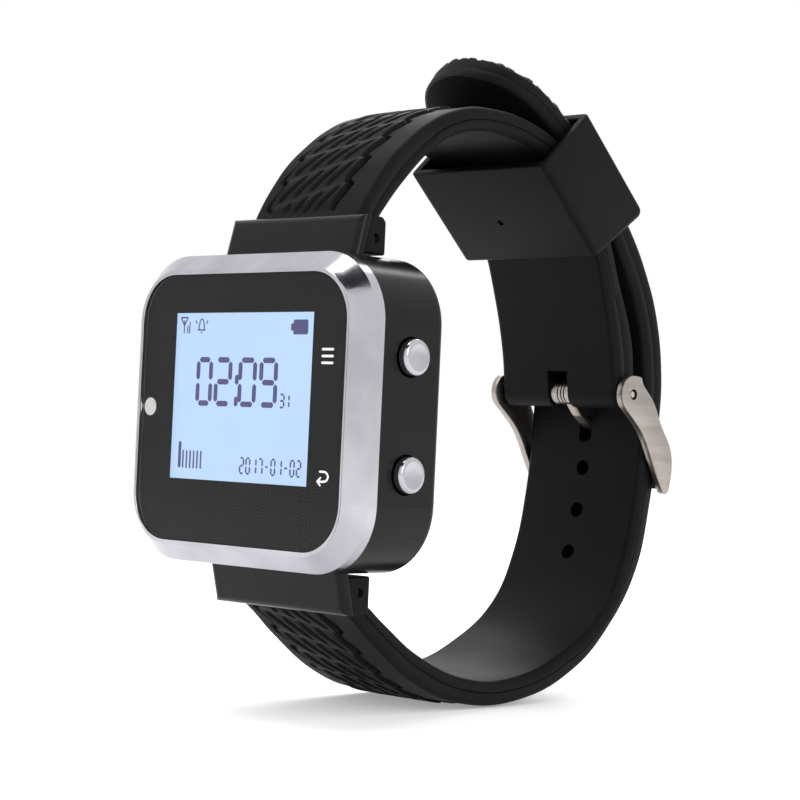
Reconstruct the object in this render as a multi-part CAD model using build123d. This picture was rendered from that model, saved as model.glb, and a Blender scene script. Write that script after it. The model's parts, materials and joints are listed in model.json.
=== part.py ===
from build123d import *
import os

# A wrist pager: a square receiver with a backlit display, worn on a two-piece rubber strap
# that is shown buckled. Millimetres. X points to the button side, Y away from the display
# towards the wrist, Z to the twelve o'clock strap. The origin is the centre of the case back.

# Receiver, seen from the front
case_width = 44.1
case_height = 40.6
case_corner = 9.0
case_wall = 1.6
glass_width = 38.5
glass_height = 35.5
glass_corner = 6.4

# Receiver, in depth
glass_front = -15.15
glass_thick = 1.0
gasket_thick = 0.2
ledge_thick = 1.2
bezel_back = -11.3
case_rear = -0.3
board_front = -9.4
board_rear = -8.4
cavity_rear = -3.2
cover_thick = 1.5

# Display
screen_x = -0.2
screen_z = 1.58
cell_width = 29.0
cell_height = 25.6

# Buttons
button_y = -6.39
button_z = 7.36
cap_radius = 2.34
cap_face_x = 23.45
cap_back_x = 21.2
stem_radius = 1.0
button_travel = 0.5
running_gap = 0.05

# Strap, its pins and the buckle
lug_width = 25.2
lug_pin_y = -3.6
lug_pin_z = 22.85
lug_pin_radius = 0.6
strap_half_at_case = 10.0
strap_half_at_buckle = 11.2
bar_y = 52.25
bar_z = 5.3
bar_radius = 0.75
bar_tip_radius = 0.45
plate_inside = 11.6
plate_outside = 12.7
keeper_half_width = 12.9
keeper_wall = 1.3
band_centre_y = 19.95
band_centre_z = 13.1
hole_radius = 1.15

# Where the pieces behind the board go
post_x = 16.4
post_z = 14.6
screw_x = 15.4
screw_z = 13.6
motor_y = -5.6
motor_z = -14.5
lamp_x = -17.8


def slab(width, height, corner, front, back, x=0.0, z=0.0):
    """A rounded rectangle seen from the front, from one depth to another."""
    outline = Pos(x, z) * RectangleRounded(width, height, corner)
    return extrude(Plane.XZ.offset(-back) * outline, amount=back - front)


def block(x_low, x_high, y_low, y_high, z_low, z_high):
    """A plain box between two corners."""
    size = Box(x_high - x_low, y_high - y_low, z_high - z_low)
    return Pos((x_low + x_high) / 2, (y_low + y_high) / 2, (z_low + z_high) / 2) * size


def rod(radius, x_low, x_high, y, z):
    """A round rod along X."""
    return extrude(Plane.YZ.offset(x_low) * Pos(y, z) * Circle(radius), amount=x_high - x_low)


def stud(radius, front, back, x, z):
    """A round rod along Y."""
    return extrude(Plane.XZ.offset(-back) * Pos(x, z) * Circle(radius), amount=back - front)


def ribbon(face, half_width):
    """A side outline in Y and Z, given an equal width to both sides."""
    return extrude(Plane.YZ * face, amount=half_width, both=True)


def outline(*curves):
    """A closed side outline from curves that meet end to end."""
    return make_face(Wire(Curve() + list(curves)).edges())


parts = {}

# --- Front: bezel, glass, gasket and the lamp window -----------------------------------
bezel_front = glass_front - 0.1
bezel_slope = 2.4
ledge_front = glass_front + glass_thick + gasket_thick
opening_width = glass_width - 2.4
opening_height = glass_height - 2.4

bezel = slab(case_width, case_height, case_corner, bezel_front, bezel_back)
bezel_front_edges = bezel.faces().sort_by(Axis.Y)[0].edges()
bezel = chamfer(bezel_front_edges, bezel_slope)
bezel -= slab(glass_width + 0.1, glass_height + 0.1, glass_corner, bezel_front, ledge_front)
bezel -= slab(opening_width, opening_height, glass_corner - 1.2, ledge_front, bezel_back)
# Behind the ledge the ring is hollowed, and a skirt presses into the case.
bezel -= slab(40.6, 37.1, 7.3, ledge_front + ledge_thick, bezel_back)
skirt = slab(40.8, 37.3, 7.35, bezel_back - 1.2, bezel_back + 1.3)
skirt -= slab(39.6, 36.1, 6.75, bezel_back - 1.2, bezel_back + 1.3)
bezel = bezel + skirt - stud(1.4, ledge_front, bezel_back, lamp_x, 0)
parts["bezel"] = bezel

glass = slab(glass_width, glass_height, glass_corner, glass_front, glass_front + glass_thick)
parts["display_window"] = chamfer(glass.faces().sort_by(Axis.Y)[0].edges(), 0.25)

gasket = slab(38.3, 35.3, 6.3, glass_front + glass_thick, ledge_front)
gasket -= slab(opening_width + 0.4, opening_height + 0.4, 5.4, glass_front, bezel_back)
parts["window_gasket"] = gasket - stud(1.4, glass_front, bezel_back, lamp_x, 0)

lamp = stud(1.2, glass_front + glass_thick, board_front - 0.75, lamp_x, 0)
parts["lamp_window"] = lamp

# --- Display stack ---------------------------------------------------------------------
cell_front = -13.8
cell_back = -12.2
backlight_back = -10.2
frame_back = board_front
parts["display_cell"] = slab(cell_width, cell_height, 0.4, cell_front, cell_back, screen_x, screen_z)
parts["backlight"] = slab(27.6, 24.2, 0.6, cell_back, backlight_back, screen_x, screen_z)
carrier = slab(30.2, 27.8, 1.2, cell_front - 0.1, frame_back, screen_x, screen_z)
carrier -= slab(cell_width + 0.1, cell_height + 0.1, 0.45, cell_front - 0.1, cell_back, screen_x, screen_z)
carrier -= slab(27.7, 24.3, 0.65, cell_back, backlight_back, screen_x, screen_z)
carrier -= slab(25.0, 21.0, 0.8, backlight_back, frame_back, screen_x, screen_z)
carrier -= block(-8.1, 8.1, cell_back, frame_back, screen_z - 14, screen_z - 12.1)
parts["display_carrier"] = carrier
ribbon_z = screen_z - cell_height / 2
ribbon_cable = block(-8, 8, cell_back, board_front, ribbon_z, ribbon_z + 0.25)
parts["display_ribbon"] = ribbon_cable

# --- Case body with its two lugs -------------------------------------------------------
cavity_width = case_width - 2 * case_wall
cavity_height = case_height - 2 * case_wall
case = slab(case_width, case_height, case_corner, bezel_back, case_rear)
case = fillet(case.faces().sort_by(Axis.Y)[-1].edges(), 1.0)

# Each lug is a sloping hood over the strap's end and a knuckle for the pin.
hood_side = outline(Polyline((-7.75, 19.5), (-6.05, 26.0), (-4.7, 25.8), (-6.4, 19.5), (-7.75, 19.5)))
hood = ribbon(hood_side, lug_width / 2)
hood_front = hood.faces().filter_by(lambda face: face.normal_at().Y < -0.8)[0]
hood = fillet(hood_front.edges().filter_by(lambda edge: edge.center().Z > 20), 1.1)
knuckle = rod(1.7, -5.8, 5.8, lug_pin_y, lug_pin_z)
knuckle += block(-5.8, 5.8, lug_pin_y - 1.7, lug_pin_y + 1.7, 19.5, lug_pin_z)
upper_lug = hood + knuckle
lower_lug = mirror(upper_lug, about=Plane.XY)
case = case + upper_lug + lower_lug

# Bosses inside the wall carry the buttons.
for side in (-1, 1):
    case += rod(3.6, 18.6, 21.0, button_y, side * button_z)
hollow = slab(cavity_width, cavity_height, case_corner - case_wall, bezel_back, cavity_rear)
for side in (-1, 1):
    hollow -= rod(3.6, 18.6, 22.0, button_y, side * button_z)
    for across in (-1, 1):
        hollow -= stud(1.6, board_rear, cavity_rear, across * post_x, side * post_z)
case -= hollow

battery_hatch = slab(33.0, 29.5, 4.0, cavity_rear, -cover_thick)
for side in (-1, 1):
    for across in (-1, 1):
        battery_hatch -= stud(2.4, cavity_rear, -cover_thick, across * screw_x, side * screw_z)
case -= battery_hatch
case -= slab(38.2, 34.7, 6.6, -cover_thick, 0)
case -= slab(36.4, 32.9, 5.7, -cover_thick - 0.5, -cover_thick) - slab(34.8, 31.3, 4.9, -2.0, -1.5)
for side in (-1, 1):
    z = side * button_z
    case -= rod(2.6, 20.6, 22.5, button_y, z)
    case -= rod(stem_radius + running_gap, 18.0, 21.0, button_y, z)
    case -= rod(1.75, 19.1, 20.1, button_y, z)
    case -= rod(lug_pin_radius + 0.03, -13, 13, lug_pin_y, side * lug_pin_z)
    for across in (-1, 1):
        case -= stud(0.6, -3.2, 0, across * screw_x, side * screw_z)
        case -= stud(0.5, board_rear, board_rear + 2.5, across * post_x, side * post_z)
# The charging socket's mouth is on the side away from the buttons.
socket_y = -7.05
socket_z = -3.0
case -= block(-23, -20, socket_y - 1.5, socket_y + 1.5, socket_z - 4.0, socket_z + 4.0)
parts["case_body"] = case

# --- Rear cover, its seal and screws ---------------------------------------------------
cover = slab(38.0, 34.5, 6.5, -cover_thick, 0)
cover = chamfer(cover.faces().sort_by(Axis.Y)[-1].edges(), 0.3)
seal = slab(36.2, 32.7, 5.6, -2.0, -1.5) - slab(35.0, 31.5, 5.0, -2.0, -1.5)
screws = []
for side in (-1, 1):
    for across in (-1, 1):
        x = across * screw_x
        z = side * screw_z
        cover -= stud(0.75, -cover_thick, 0, x, z)
        cover -= stud(1.25, -0.8, 0, x, z)
        screw = stud(0.57, -3.1, -0.7, x, z) + stud(1.15, -0.8, -0.1, x, z)
        slot = block(x - 0.8, x + 0.8, -0.4, 0, z - 0.14, z + 0.14)
        slot += block(x - 0.14, x + 0.14, -0.4, 0, z - 0.8, z + 0.8)
        screws.append(screw - slot)
parts["rear_cover"] = cover
parts["rear_seal"] = seal
parts["cover_screws"] = Compound(children=screws)

# --- Circuit board and what it carries -------------------------------------------------
board = slab(39.0, 36.0, 6.6, board_front, board_rear)
board -= block(18.4, 20, -10, -8, -12, 12)
board_screws = []
for side in (-1, 1):
    for across in (-1, 1):
        x = across * post_x
        z = side * post_z
        board -= stud(0.65, board_front, board_rear, x, z)
        board_screws.append(stud(0.47, board_front, board_rear + 2.3, x, z)
                            + stud(0.95, board_front - 0.6, board_front, x, z))
parts["main_board"] = board
parts["board_screws"] = Compound(children=board_screws)
parts["receiver_chip"] = block(-9, -4, board_rear, board_rear + 0.9, 2, 7)
parts["controller_chip"] = block(-2, 5, board_rear, board_rear + 1.0, -5, 2)
parts["crystal"] = block(-9, -5.8, board_rear, board_rear + 0.8, -2.5, -1.0)
parts["memory_chip"] = block(7, 11, board_rear, board_rear + 0.9, 3.5, 8.5)
parts["status_lamp"] = block(lamp_x - 0.8, lamp_x + 0.8, board_front - 0.7, board_front, -0.4, 0.4)

# A stamped strip stands along the top wall as the aerial.
aerial = block(-12.5, 12.5, -7.7, -4.5, 17.7, 18.0)
aerial += block(-12.5, -10.5, board_rear, -7.7, 17.4, 18.0)
aerial += block(10.5, 12.5, board_rear, -7.7, 17.4, 18.0)
parts["aerial_strip"] = aerial - block(-9, 9, -7.7, -6.6, 17.5, 18.2)

socket = block(-21.4, -15.8, socket_y - 1.35, socket_y + 1.25, socket_z - 3.75, socket_z + 3.75)
socket -= block(-21.4, -16.4, socket_y - 1.0, socket_y + 0.9, socket_z - 3.45, socket_z + 3.45)
socket += block(-20.6, -16.2, socket_y - 0.2, socket_y + 0.35, socket_z - 1.9, socket_z + 1.9)
parts["charging_socket"] = socket

# --- Battery ---------------------------------------------------------------------------
cell = block(-12.5, 12.5, -6.3, -2.3, -9.0, 11.0)
parts["battery"] = fillet(cell.edges().filter_by(Axis.Z), 1.2)
parts["battery_pad"] = block(-11, 11, -2.3, -cover_thick, -7.5, 9.5)
tabs = []
for x in (-4.0, 2.0):
    tab = block(x, x + 2.0, -6.0, -5.8, 11.0, 12.6)
    tab += block(x, x + 2.0, board_rear, -5.8, 12.6, 12.8)
    tabs.append(tab)
parts["battery_tabs"] = Compound(children=tabs)

# --- Vibration motor and buzzer --------------------------------------------------------
motor_can = rod(2.0, -13.2, -6.2, motor_y, motor_z)
motor_can -= rod(0.4, -8.2, -6.2, motor_y, motor_z)
parts["vibration_motor"] = motor_can
boot = block(-12.6, -7.0, board_rear, -3.3, motor_z - 2.6, motor_z + 2.6)
parts["motor_boot"] = boot - rod(2.0, -13.2, -6.2, motor_y, motor_z)
weight = rod(1.9, -5.6, -2.8, motor_y, motor_z)
weight -= block(-5.6, -2.8, motor_y + 0.45, motor_y + 2, motor_z - 2, motor_z + 2)
weight += rod(0.8, -5.6, -2.8, motor_y, motor_z)
parts["vibration_weight"] = weight - rod(0.35, -8.0, -2.8, motor_y, motor_z)
parts["motor_shaft"] = rod(0.35, -8.0, -2.8, motor_y, motor_z)
buzzer = stud(4.0, board_rear, board_rear + 3.0, 7.5, -13.9)
parts["buzzer"] = buzzer - stud(0.8, board_rear + 1.6, board_rear + 3.0, 7.5, -13.9)

# --- Buttons: cap with stem, clip, and the plunger of the switch behind it -------------
stem_end_x = 17.2
clip_x = 18.1
plunger_x = 15.2
seals = []
for name, side in (("mode", 1), ("return", -1)):
    z = side * button_z
    cap = rod(cap_radius, cap_back_x, cap_face_x, button_y, z)
    cap = fillet(cap.faces().sort_by(Axis.X)[-1].edges(), 0.5)
    cap += rod(stem_radius, stem_end_x, cap_back_x, button_y, z)
    cap -= rod(stem_radius, clip_x, clip_x + 0.4, button_y, z) - rod(0.7, clip_x, clip_x + 0.4, button_y, z)
    parts[name + "_button"] = cap
    clip = rod(1.8, clip_x, clip_x + 0.4, button_y, z) - rod(0.7, clip_x, clip_x + 0.4, button_y, z)
    slit = block(clip_x, clip_x + 0.4, button_y - 0.65, button_y + 0.65, z, z + 2)
    parts[name + "_button_clip"] = clip - slit
    body = block(13.2, 16.4, board_rear, board_rear + 3.9, z - 2.4, z + 2.4)
    body -= block(14.2, 16.4, button_y - 0.8, button_y + 0.8, z - 0.8, z + 0.8)
    parts[name + "_switch"] = body
    plunger = block(plunger_x, stem_end_x, button_y - 0.7, button_y + 0.7, z - 0.7, z + 0.7)
    parts[name + "_switch_plunger"] = plunger
    ring = Pos(19.6, button_y, z) * Rot(0, 90, 0) * Torus(1.39, 0.33)
    seals.append(ring)
parts["button_seals"] = Compound(children=seals)

# --- Strap pins at the case ------------------------------------------------------------
parts["upper_lug_pin"] = rod(lug_pin_radius, -11.6, 11.6, lug_pin_y, lug_pin_z)
parts["lower_lug_pin"] = rod(lug_pin_radius, -11.6, 11.6, lug_pin_y, -lug_pin_z)

# --- Straps ----------------------------------------------------------------------------
# Under and beside the keeper both straps follow arcs about one centre, so the keeper can
# slide along them. Elsewhere each side of a strap is one smooth curve.
buckle_strap_inside = 27.5
buckle_strap_outside = 30.9
tail_inside = 31.3
tail_outside = 34.6
arc_low = 24.0
tail_arc_low = 38.0
tail_arc_high = 55.0
arc_high = 68.0


def band_point(radius, angle):
    """A point on an arc about the keeper's centre, the angle counted from Y towards Z."""
    direction = Vector(1, 0).rotate(Axis.Z, angle)
    return Vector(band_centre_y, band_centre_z) + direction * radius


def band_arc(radius, first, last):
    """The stretch of such an arc between two angles."""
    return ThreePointArc(band_point(radius, first), band_point(radius, (first + last) / 2),
                         band_point(radius, last))


def band_tangent(angle):
    """The direction of such an arc towards larger angles."""
    return Vector(0, 1).rotate(Axis.Z, angle)


def plan_shape(y_low, y_high):
    """The strap's outline from above: it widens from the case towards the buckle."""
    half_low = strap_half_at_case
    half_high = strap_half_at_buckle
    plan = make_face(Polyline((-half_low, y_low), (half_low, y_low), (half_high, y_high), (half_high, 70),
                              (-half_high, 70), (-half_high, y_high), (-half_low, y_low)))
    return extrude(Plane.XY * plan, amount=60, both=True)


def strap_end():
    """The thick end that fills the lug, up to the pin's far side."""
    side = outline(Polyline((-6.0, 20.75), (-4.6, 25.6), (-2.3, 25.7), (-1.75, 25.1), (-1.75, 20.75),
                            (-6.0, 20.75)))
    return ribbon(side, lug_width / 2 - 0.2)


knuckle_gap = block(-6.1, 6.1, -8, 0, 20, 24.9)


# The strap with the buckle starts at the upper lug and ends round the buckle's bar.
outer_start = (-4.8, 25.3)
outer_low = Spline(band_point(buckle_strap_outside, arc_high), (19.0, 43.2), (13.0, 42.0), (8.2, 39.7),
                   (4.2, 36.8), (1.2, 34.1), (-1.0, 31.4), (-3.0, 28.5), outer_start,
                   tangents=[band_tangent(arc_high), Vector(-0.5, -1)])
inner_start = (-1.8, 23.5)
inner_low = Spline(inner_start, (0.3, 26.6), (5.5, 32.6), (9.4, 36.1), (13.6, 38.6), (18.5, 39.9),
                   (23.7, 39.9), band_point(buckle_strap_inside, arc_high),
                   tangents=[Vector(0.4, 1), -band_tangent(arc_high)])
inner_bar = (bar_y - 2.1, bar_z)
outer_bar = (bar_y + 2.1, bar_z)
inner_high = Spline(band_point(buckle_strap_inside, arc_low - 6), (49.2, 11.5), inner_bar,
                    tangents=[-band_tangent(arc_low - 6), Vector(0, -1)])
outer_high = Spline(outer_bar, (53.6, 12.6), band_point(buckle_strap_outside, arc_low - 6),
                    tangents=[Vector(0, 1), band_tangent(arc_low - 6)])
round_end = ThreePointArc(inner_bar, (bar_y, bar_z - 2.1), outer_bar)
upper_side = outline(
    Line(outer_start, inner_start), inner_low,
    band_arc(buckle_strap_inside, arc_high, arc_low - 6), inner_high, round_end, outer_high,
    band_arc(buckle_strap_outside, arc_low - 6, arc_high), outer_low)
upper_strap = ribbon(upper_side, 12) & plan_shape(-3.0, 45.0)
upper_strap += strap_end()
upper_strap -= knuckle_gap
upper_strap -= rod(bar_radius + 0.05, -13, 13, bar_y, bar_z)
upper_strap -= block(-1.9, 1.9, bar_y - 4, bar_y + 4, bar_z - 3, bar_z + 3.2)
upper_strap -= rod(lug_pin_radius + 0.03, -13, 13, lug_pin_y, lug_pin_z)
parts["upper_strap"] = upper_strap

# The strap with the holes starts at the lower lug, passes the buckle and ends in the tail.
lower_outer_start = (-4.6, -25.0)
lower_inner_start = (-1.8, -23.2)
tail_straight = 18.0
tail_top_inner = band_point(tail_inside, tail_arc_high) + band_tangent(tail_arc_high) * tail_straight
tail_top_outer = band_point(tail_outside, tail_arc_high) + band_tangent(tail_arc_high) * tail_straight
lower_inner = Spline(lower_inner_start, (0.5, -24.5), (4.6, -27.5), (11.2, -31.8), (20.8, -35.3),
                     (29.9, -35.7), (40.7, -32.6), (49.7, -26.8), (54.0, -19.3), (56.4, -9.8),
                     (57.3, 0.0), (57.4, 7.0), (55.1, 17.2), (48.9, 27.4),
                     band_point(tail_inside, tail_arc_low),
                     tangents=[Vector(1, -0.6), band_tangent(tail_arc_low)])
lower_outer = Spline(band_point(tail_outside, tail_arc_low), (51.9, 29.7), (56.1, 23.9), (59.4, 17.2),
                     (61.3, 8.0), (61.1, 1.0), (60.5, -5.0), (59.6, -11.0), (57.0, -20.6),
                     (50.1, -29.7), (42.4, -35.3), (31.4, -38.8), (19.2, -38.6), (10.8, -35.8),
                     (2.5, -30.4), (-1.6, -27.1), lower_outer_start,
                     tangents=[-band_tangent(tail_arc_low), Vector(-1, 0.65)])
lower_side = outline(
    lower_inner, band_arc(tail_inside, tail_arc_low, tail_arc_high),
    Polyline(band_point(tail_inside, tail_arc_high), tail_top_inner, tail_top_outer,
             band_point(tail_outside, tail_arc_high)),
    band_arc(tail_outside, tail_arc_high, tail_arc_low), lower_outer,
    Line(lower_outer_start, lower_inner_start))
lower_strap = ribbon(lower_side, 12) & plan_shape(-3.0, 45.0)
lower_strap += mirror(strap_end(), about=Plane.XY)
lower_strap -= mirror(knuckle_gap, about=Plane.XY)
lower_strap -= rod(lug_pin_radius + 0.03, -13, 13, lug_pin_y, -lug_pin_z)
# The tail's tip is round, seen square on.
tip_radius = 10.7
tip_middle = (band_point(tail_inside, tail_arc_high)
              + band_tangent(tail_arc_high) * (tail_straight - tip_radius))
tip_facing = Vector(1, 0).rotate(Axis.Z, tail_arc_high)
tip_plane = Plane(origin=(0, tip_middle.X, tip_middle.Y), x_dir=(1, 0, 0),
                  z_dir=(0, tip_facing.X, tip_facing.Y))
tip_corners = Pos(0, -(tip_radius + 4) / 2) * Rectangle(26, tip_radius + 4) - Circle(tip_radius)
lower_strap -= extrude(tip_plane * tip_corners, amount=8, both=True)
# Holes along the middle, spaced evenly, and the one the tongue stretches open.
for hole_y, hole_z, tilt in ((57.0, -5.9, 4), (55.5, -12.2, 14), (53.3, -18.3, 24)):
    drill = Pos(0, hole_y, hole_z) * Rot(90 - tilt, 0, 0) * Cylinder(hole_radius, 14)
    lower_strap -= drill
tongue_hole_z = 0.1
lower_strap -= block(-hole_radius, hole_radius, 55, 64, tongue_hole_z - 1.9, tongue_hole_z + 1.9)
parts["lower_strap"] = lower_strap

# --- Keeper: a wide band that slides over both straps ----------------------------------
keeper_angle = 48.2
keeper_inner_face = 23.4
keeper_outer_face = 36.3
keeper_high = 8.6
keeper_low = 8.8
keeper_skew_high = 1.2
keeper_skew_low = 3.1
window_centre = (keeper_inner_face + keeper_outer_face) / 2
window_depth = keeper_outer_face - keeper_inner_face - 2 * keeper_wall
keeper_side = make_face(Polyline(
    (-keeper_high, keeper_inner_face), (keeper_skew_high - keeper_high, keeper_outer_face),
    (keeper_low + keeper_skew_low, keeper_outer_face), (keeper_low, keeper_inner_face),
    (-keeper_high, keeper_inner_face)))
keeper_side = fillet(keeper_side.vertices().sort_by(Axis.Y)[-1], 1.2)
keeper_band = ribbon(keeper_side, keeper_half_width)
long_edges = keeper_band.edges().filter_by(Axis.Y)
keeper_band = fillet(long_edges, 1.0)
keeper_band -= Pos(0, 0, window_centre) * Box(2 * (keeper_half_width - keeper_wall), 40, window_depth)
keeper = Pos(0, band_centre_y, band_centre_z) * Rot(keeper_angle - 90, 0, 0) * keeper_band
parts["keeper"] = keeper

# --- Buckle ----------------------------------------------------------------------------
parts["buckle_bar"] = (rod(bar_radius, -11.4, 11.4, bar_y, bar_z)
                       + rod(bar_tip_radius, -12.5, 12.5, bar_y, bar_z))
crossbar_y = 61.95
plate_side = outline(
    Spline((bar_y - 2.8, bar_z), (bar_y - 1.2, bar_z - 2.6), (55.0, -0.6), (57.6, -4.6), (60.4, -8.9),
           tangents=[Vector(0, -1), Vector(0.7, -1)]),
    ThreePointArc((60.4, -8.9), (61.2, -9.3), (62.0, -8.7)),
    Spline((62.0, -8.7), (62.6, -5.3), (62.1, -2.6), (59.5, 1.0), (57.0, 4.8), (54.4, 7.3), (bar_y, bar_z + 2.8),
           tangents=[Vector(0.3, 1), Vector(-1, 0)]),
    ThreePointArc((bar_y, bar_z + 2.8), (bar_y - 1.98, bar_z + 1.98), (bar_y - 2.8, bar_z)))
plate_depth = plate_outside - plate_inside
plate = extrude(Plane.YZ.offset(plate_inside) * plate_side, amount=plate_depth)
plate -= rod(bar_tip_radius + running_gap, 11, 13, bar_y, bar_z)
crossbar_side = outline(Polyline((61.0, -8.6), (62.1, -8.2), (62.6, -5.4), (62.2, -3.2), (61.1, -3.0),
                                 (61.0, -8.6)))
crossbar = ribbon(crossbar_side, plate_inside + 0.2)
parts["buckle_frame"] = plate + mirror(plate, about=Plane.YZ) + crossbar

tongue_half = 0.8
tongue_line = [(bar_y + 0.9, bar_z - 0.9), (55.2, 2.3), (56.8, 1.2), (61.2, -0.9), (63.2, -2.6), (63.3, -8.3)]
tongue_path = FilletPolyline(*[Vector(0, y, z) for y, z in tongue_line], radius=0.7)
tongue_start = Vector(0, *tongue_line[0])
tongue_way = (Vector(0, *tongue_line[1]) - tongue_start).normalized()
tongue_section = Plane(origin=tongue_start, x_dir=(1, 0, 0), z_dir=tongue_way) * Rectangle(
    2 * tongue_half, 0.9)
tongue = sweep(tongue_section, path=tongue_path)
tongue += rod(1.7, -1.6, 1.6, bar_y, bar_z)
tongue -= rod(bar_radius + running_gap, -3, 3, bar_y, bar_z)
parts["buckle_tongue"] = tongue

os.makedirs("parts", exist_ok=True)
for name, shape in parts.items():
    shape.label = name
    export_step(shape, "parts/" + name + ".step")
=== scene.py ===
import json
import math

import bmesh
import bpy
import numpy as np
from mathutils import Matrix, Vector

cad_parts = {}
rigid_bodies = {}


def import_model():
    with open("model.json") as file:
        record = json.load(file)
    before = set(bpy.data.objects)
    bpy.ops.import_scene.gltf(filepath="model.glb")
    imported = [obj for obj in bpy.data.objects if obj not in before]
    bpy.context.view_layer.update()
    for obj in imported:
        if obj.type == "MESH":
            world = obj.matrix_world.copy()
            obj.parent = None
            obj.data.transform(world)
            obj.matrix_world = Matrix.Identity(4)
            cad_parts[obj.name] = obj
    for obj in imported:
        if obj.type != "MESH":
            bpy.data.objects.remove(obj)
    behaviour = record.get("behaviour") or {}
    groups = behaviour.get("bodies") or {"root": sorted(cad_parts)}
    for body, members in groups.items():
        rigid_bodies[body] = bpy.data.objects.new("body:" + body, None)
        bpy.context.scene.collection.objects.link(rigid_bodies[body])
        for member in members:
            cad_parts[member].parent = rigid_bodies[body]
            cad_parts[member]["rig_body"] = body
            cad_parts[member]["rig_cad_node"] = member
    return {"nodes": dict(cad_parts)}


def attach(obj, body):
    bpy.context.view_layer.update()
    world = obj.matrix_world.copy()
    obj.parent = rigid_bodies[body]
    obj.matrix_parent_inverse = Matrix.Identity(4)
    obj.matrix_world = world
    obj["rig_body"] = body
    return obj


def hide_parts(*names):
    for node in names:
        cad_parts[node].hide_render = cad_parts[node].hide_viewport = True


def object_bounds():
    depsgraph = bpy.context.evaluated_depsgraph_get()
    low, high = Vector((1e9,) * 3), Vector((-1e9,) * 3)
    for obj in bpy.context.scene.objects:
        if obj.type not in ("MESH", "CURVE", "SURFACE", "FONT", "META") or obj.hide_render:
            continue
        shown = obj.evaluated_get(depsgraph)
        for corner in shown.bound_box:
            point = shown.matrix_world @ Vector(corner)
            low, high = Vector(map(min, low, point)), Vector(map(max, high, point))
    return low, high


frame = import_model()
cad_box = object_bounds()
MM = 0.001

# --- Stand-in studio --------------------------------------------------------------------
# The pager stands on the low point of its strap on a pale floor.
# Three large soft lamps and a white room give the long soft reflections of a light tent.
bpy.ops.object.select_all(action="DESELECT")


def colour(hex_value):
    """An sRGB hex colour as the linear colour a shader socket takes."""
    parts = [int(hex_value[i:i + 2], 16) / 255 for i in (1, 3, 5)]
    linear = [p / 12.92 if p <= 0.04045 else ((p + 0.055) / 1.055) ** 2.4 for p in parts]
    return (*linear, 1.0)


def put(tree, kind, wires=(), **settings):
    """Adds a shader node; settings name its options or sockets, wires bring other nodes' outputs in."""
    made = tree.nodes.new("ShaderNode" + kind)
    for name, value in settings.items():
        if hasattr(made, name):
            setattr(made, name, value)
        else:
            made.inputs[name.replace("_", " ")].default_value = value
    for socket, source in wires:
        tree.links.new(source, made.inputs[socket])
    return made


def blank(name):
    """A material with only its output node."""
    material = bpy.data.materials.new(name)
    material.use_nodes = True
    material.node_tree.nodes.clear()
    return material, material.node_tree


def close(tree, shader):
    """Joins the last shader to the material's output."""
    put(tree, "OutputMaterial", [("Surface", shader.outputs[0])])


AZIMUTH, ELEVATION, ROLL = 43.17, -1.10, 2.63
DISTANCE = 259.47 * MM
aim = Vector((28.744, -15.15, 1.77)) * MM
turn = (Matrix.Rotation(math.radians(AZIMUTH), 4, "Z")
        @ Matrix.Rotation(math.radians(90 - ELEVATION), 4, "X")
        @ Matrix.Rotation(math.radians(ROLL), 4, "Z"))
place = aim + turn.to_3x3() @ Vector((0, 0, DISTANCE))
bpy.ops.object.camera_add(location=place, rotation=turn.to_euler())
camera = bpy.context.object
camera.data.lens = 97.53
camera.data.clip_start = 0.01
bpy.context.scene.camera = camera
bpy.context.scene.view_settings.view_transform = "Standard"

floor_height = cad_box[0].z - 0.3 * MM
bpy.ops.mesh.primitive_plane_add(size=1, location=(0, 0, floor_height))
floor = bpy.context.object
floor.name = "studio_floor"
bpy.ops.object.mode_set(mode="EDIT")
bpy.ops.transform.resize(value=(6, 6, 1))
bpy.ops.object.mode_set(mode="OBJECT")
paper, tree = blank("white_background_paper")
fibre = put(tree, "TexNoise", [("Vector", put(tree, "TexCoord").outputs["Object"])],
            Scale=900.0, Detail=3.0)
grain = put(tree, "Bump", [("Height", fibre.outputs[0])], Strength=0.1, Distance=0.00005)
close(tree, put(tree, "BsdfPrincipled", [("Normal", grain.outputs[0])], Base_Color=colour("#E6E6E6"),
                Roughness=0.9, Emission_Color=colour("#FFFFFF"), Emission_Strength=0.3))
floor.data.materials.append(paper)

world = bpy.data.worlds.new("light_tent")
bpy.context.scene.world = world
world.use_nodes = True
world.node_tree.nodes["Background"].inputs["Color"].default_value = colour("#FFFFFF")
world.node_tree.nodes["Background"].inputs["Strength"].default_value = 1.0

loop_middle = Vector((0, 20, 0)) * MM
for name, spot, size, watts in (("key_softbox", (-0.1, -0.3, 0.7), 0.5, 2.6),
                                ("side_softbox", (0.6, -0.2, 0.25), 0.35, 0.8),
                                ("top_softbox", (-0.25, 0.45, 0.4), 0.4, 2.0)):
    direction = Vector(spot) - loop_middle
    bpy.ops.object.light_add(type="AREA", location=spot,
                             rotation=direction.to_track_quat("Z", "Y").to_euler())
    lamp = bpy.context.object
    lamp.name = name
    lamp.data.size = size
    lamp.data.energy = watts

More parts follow.
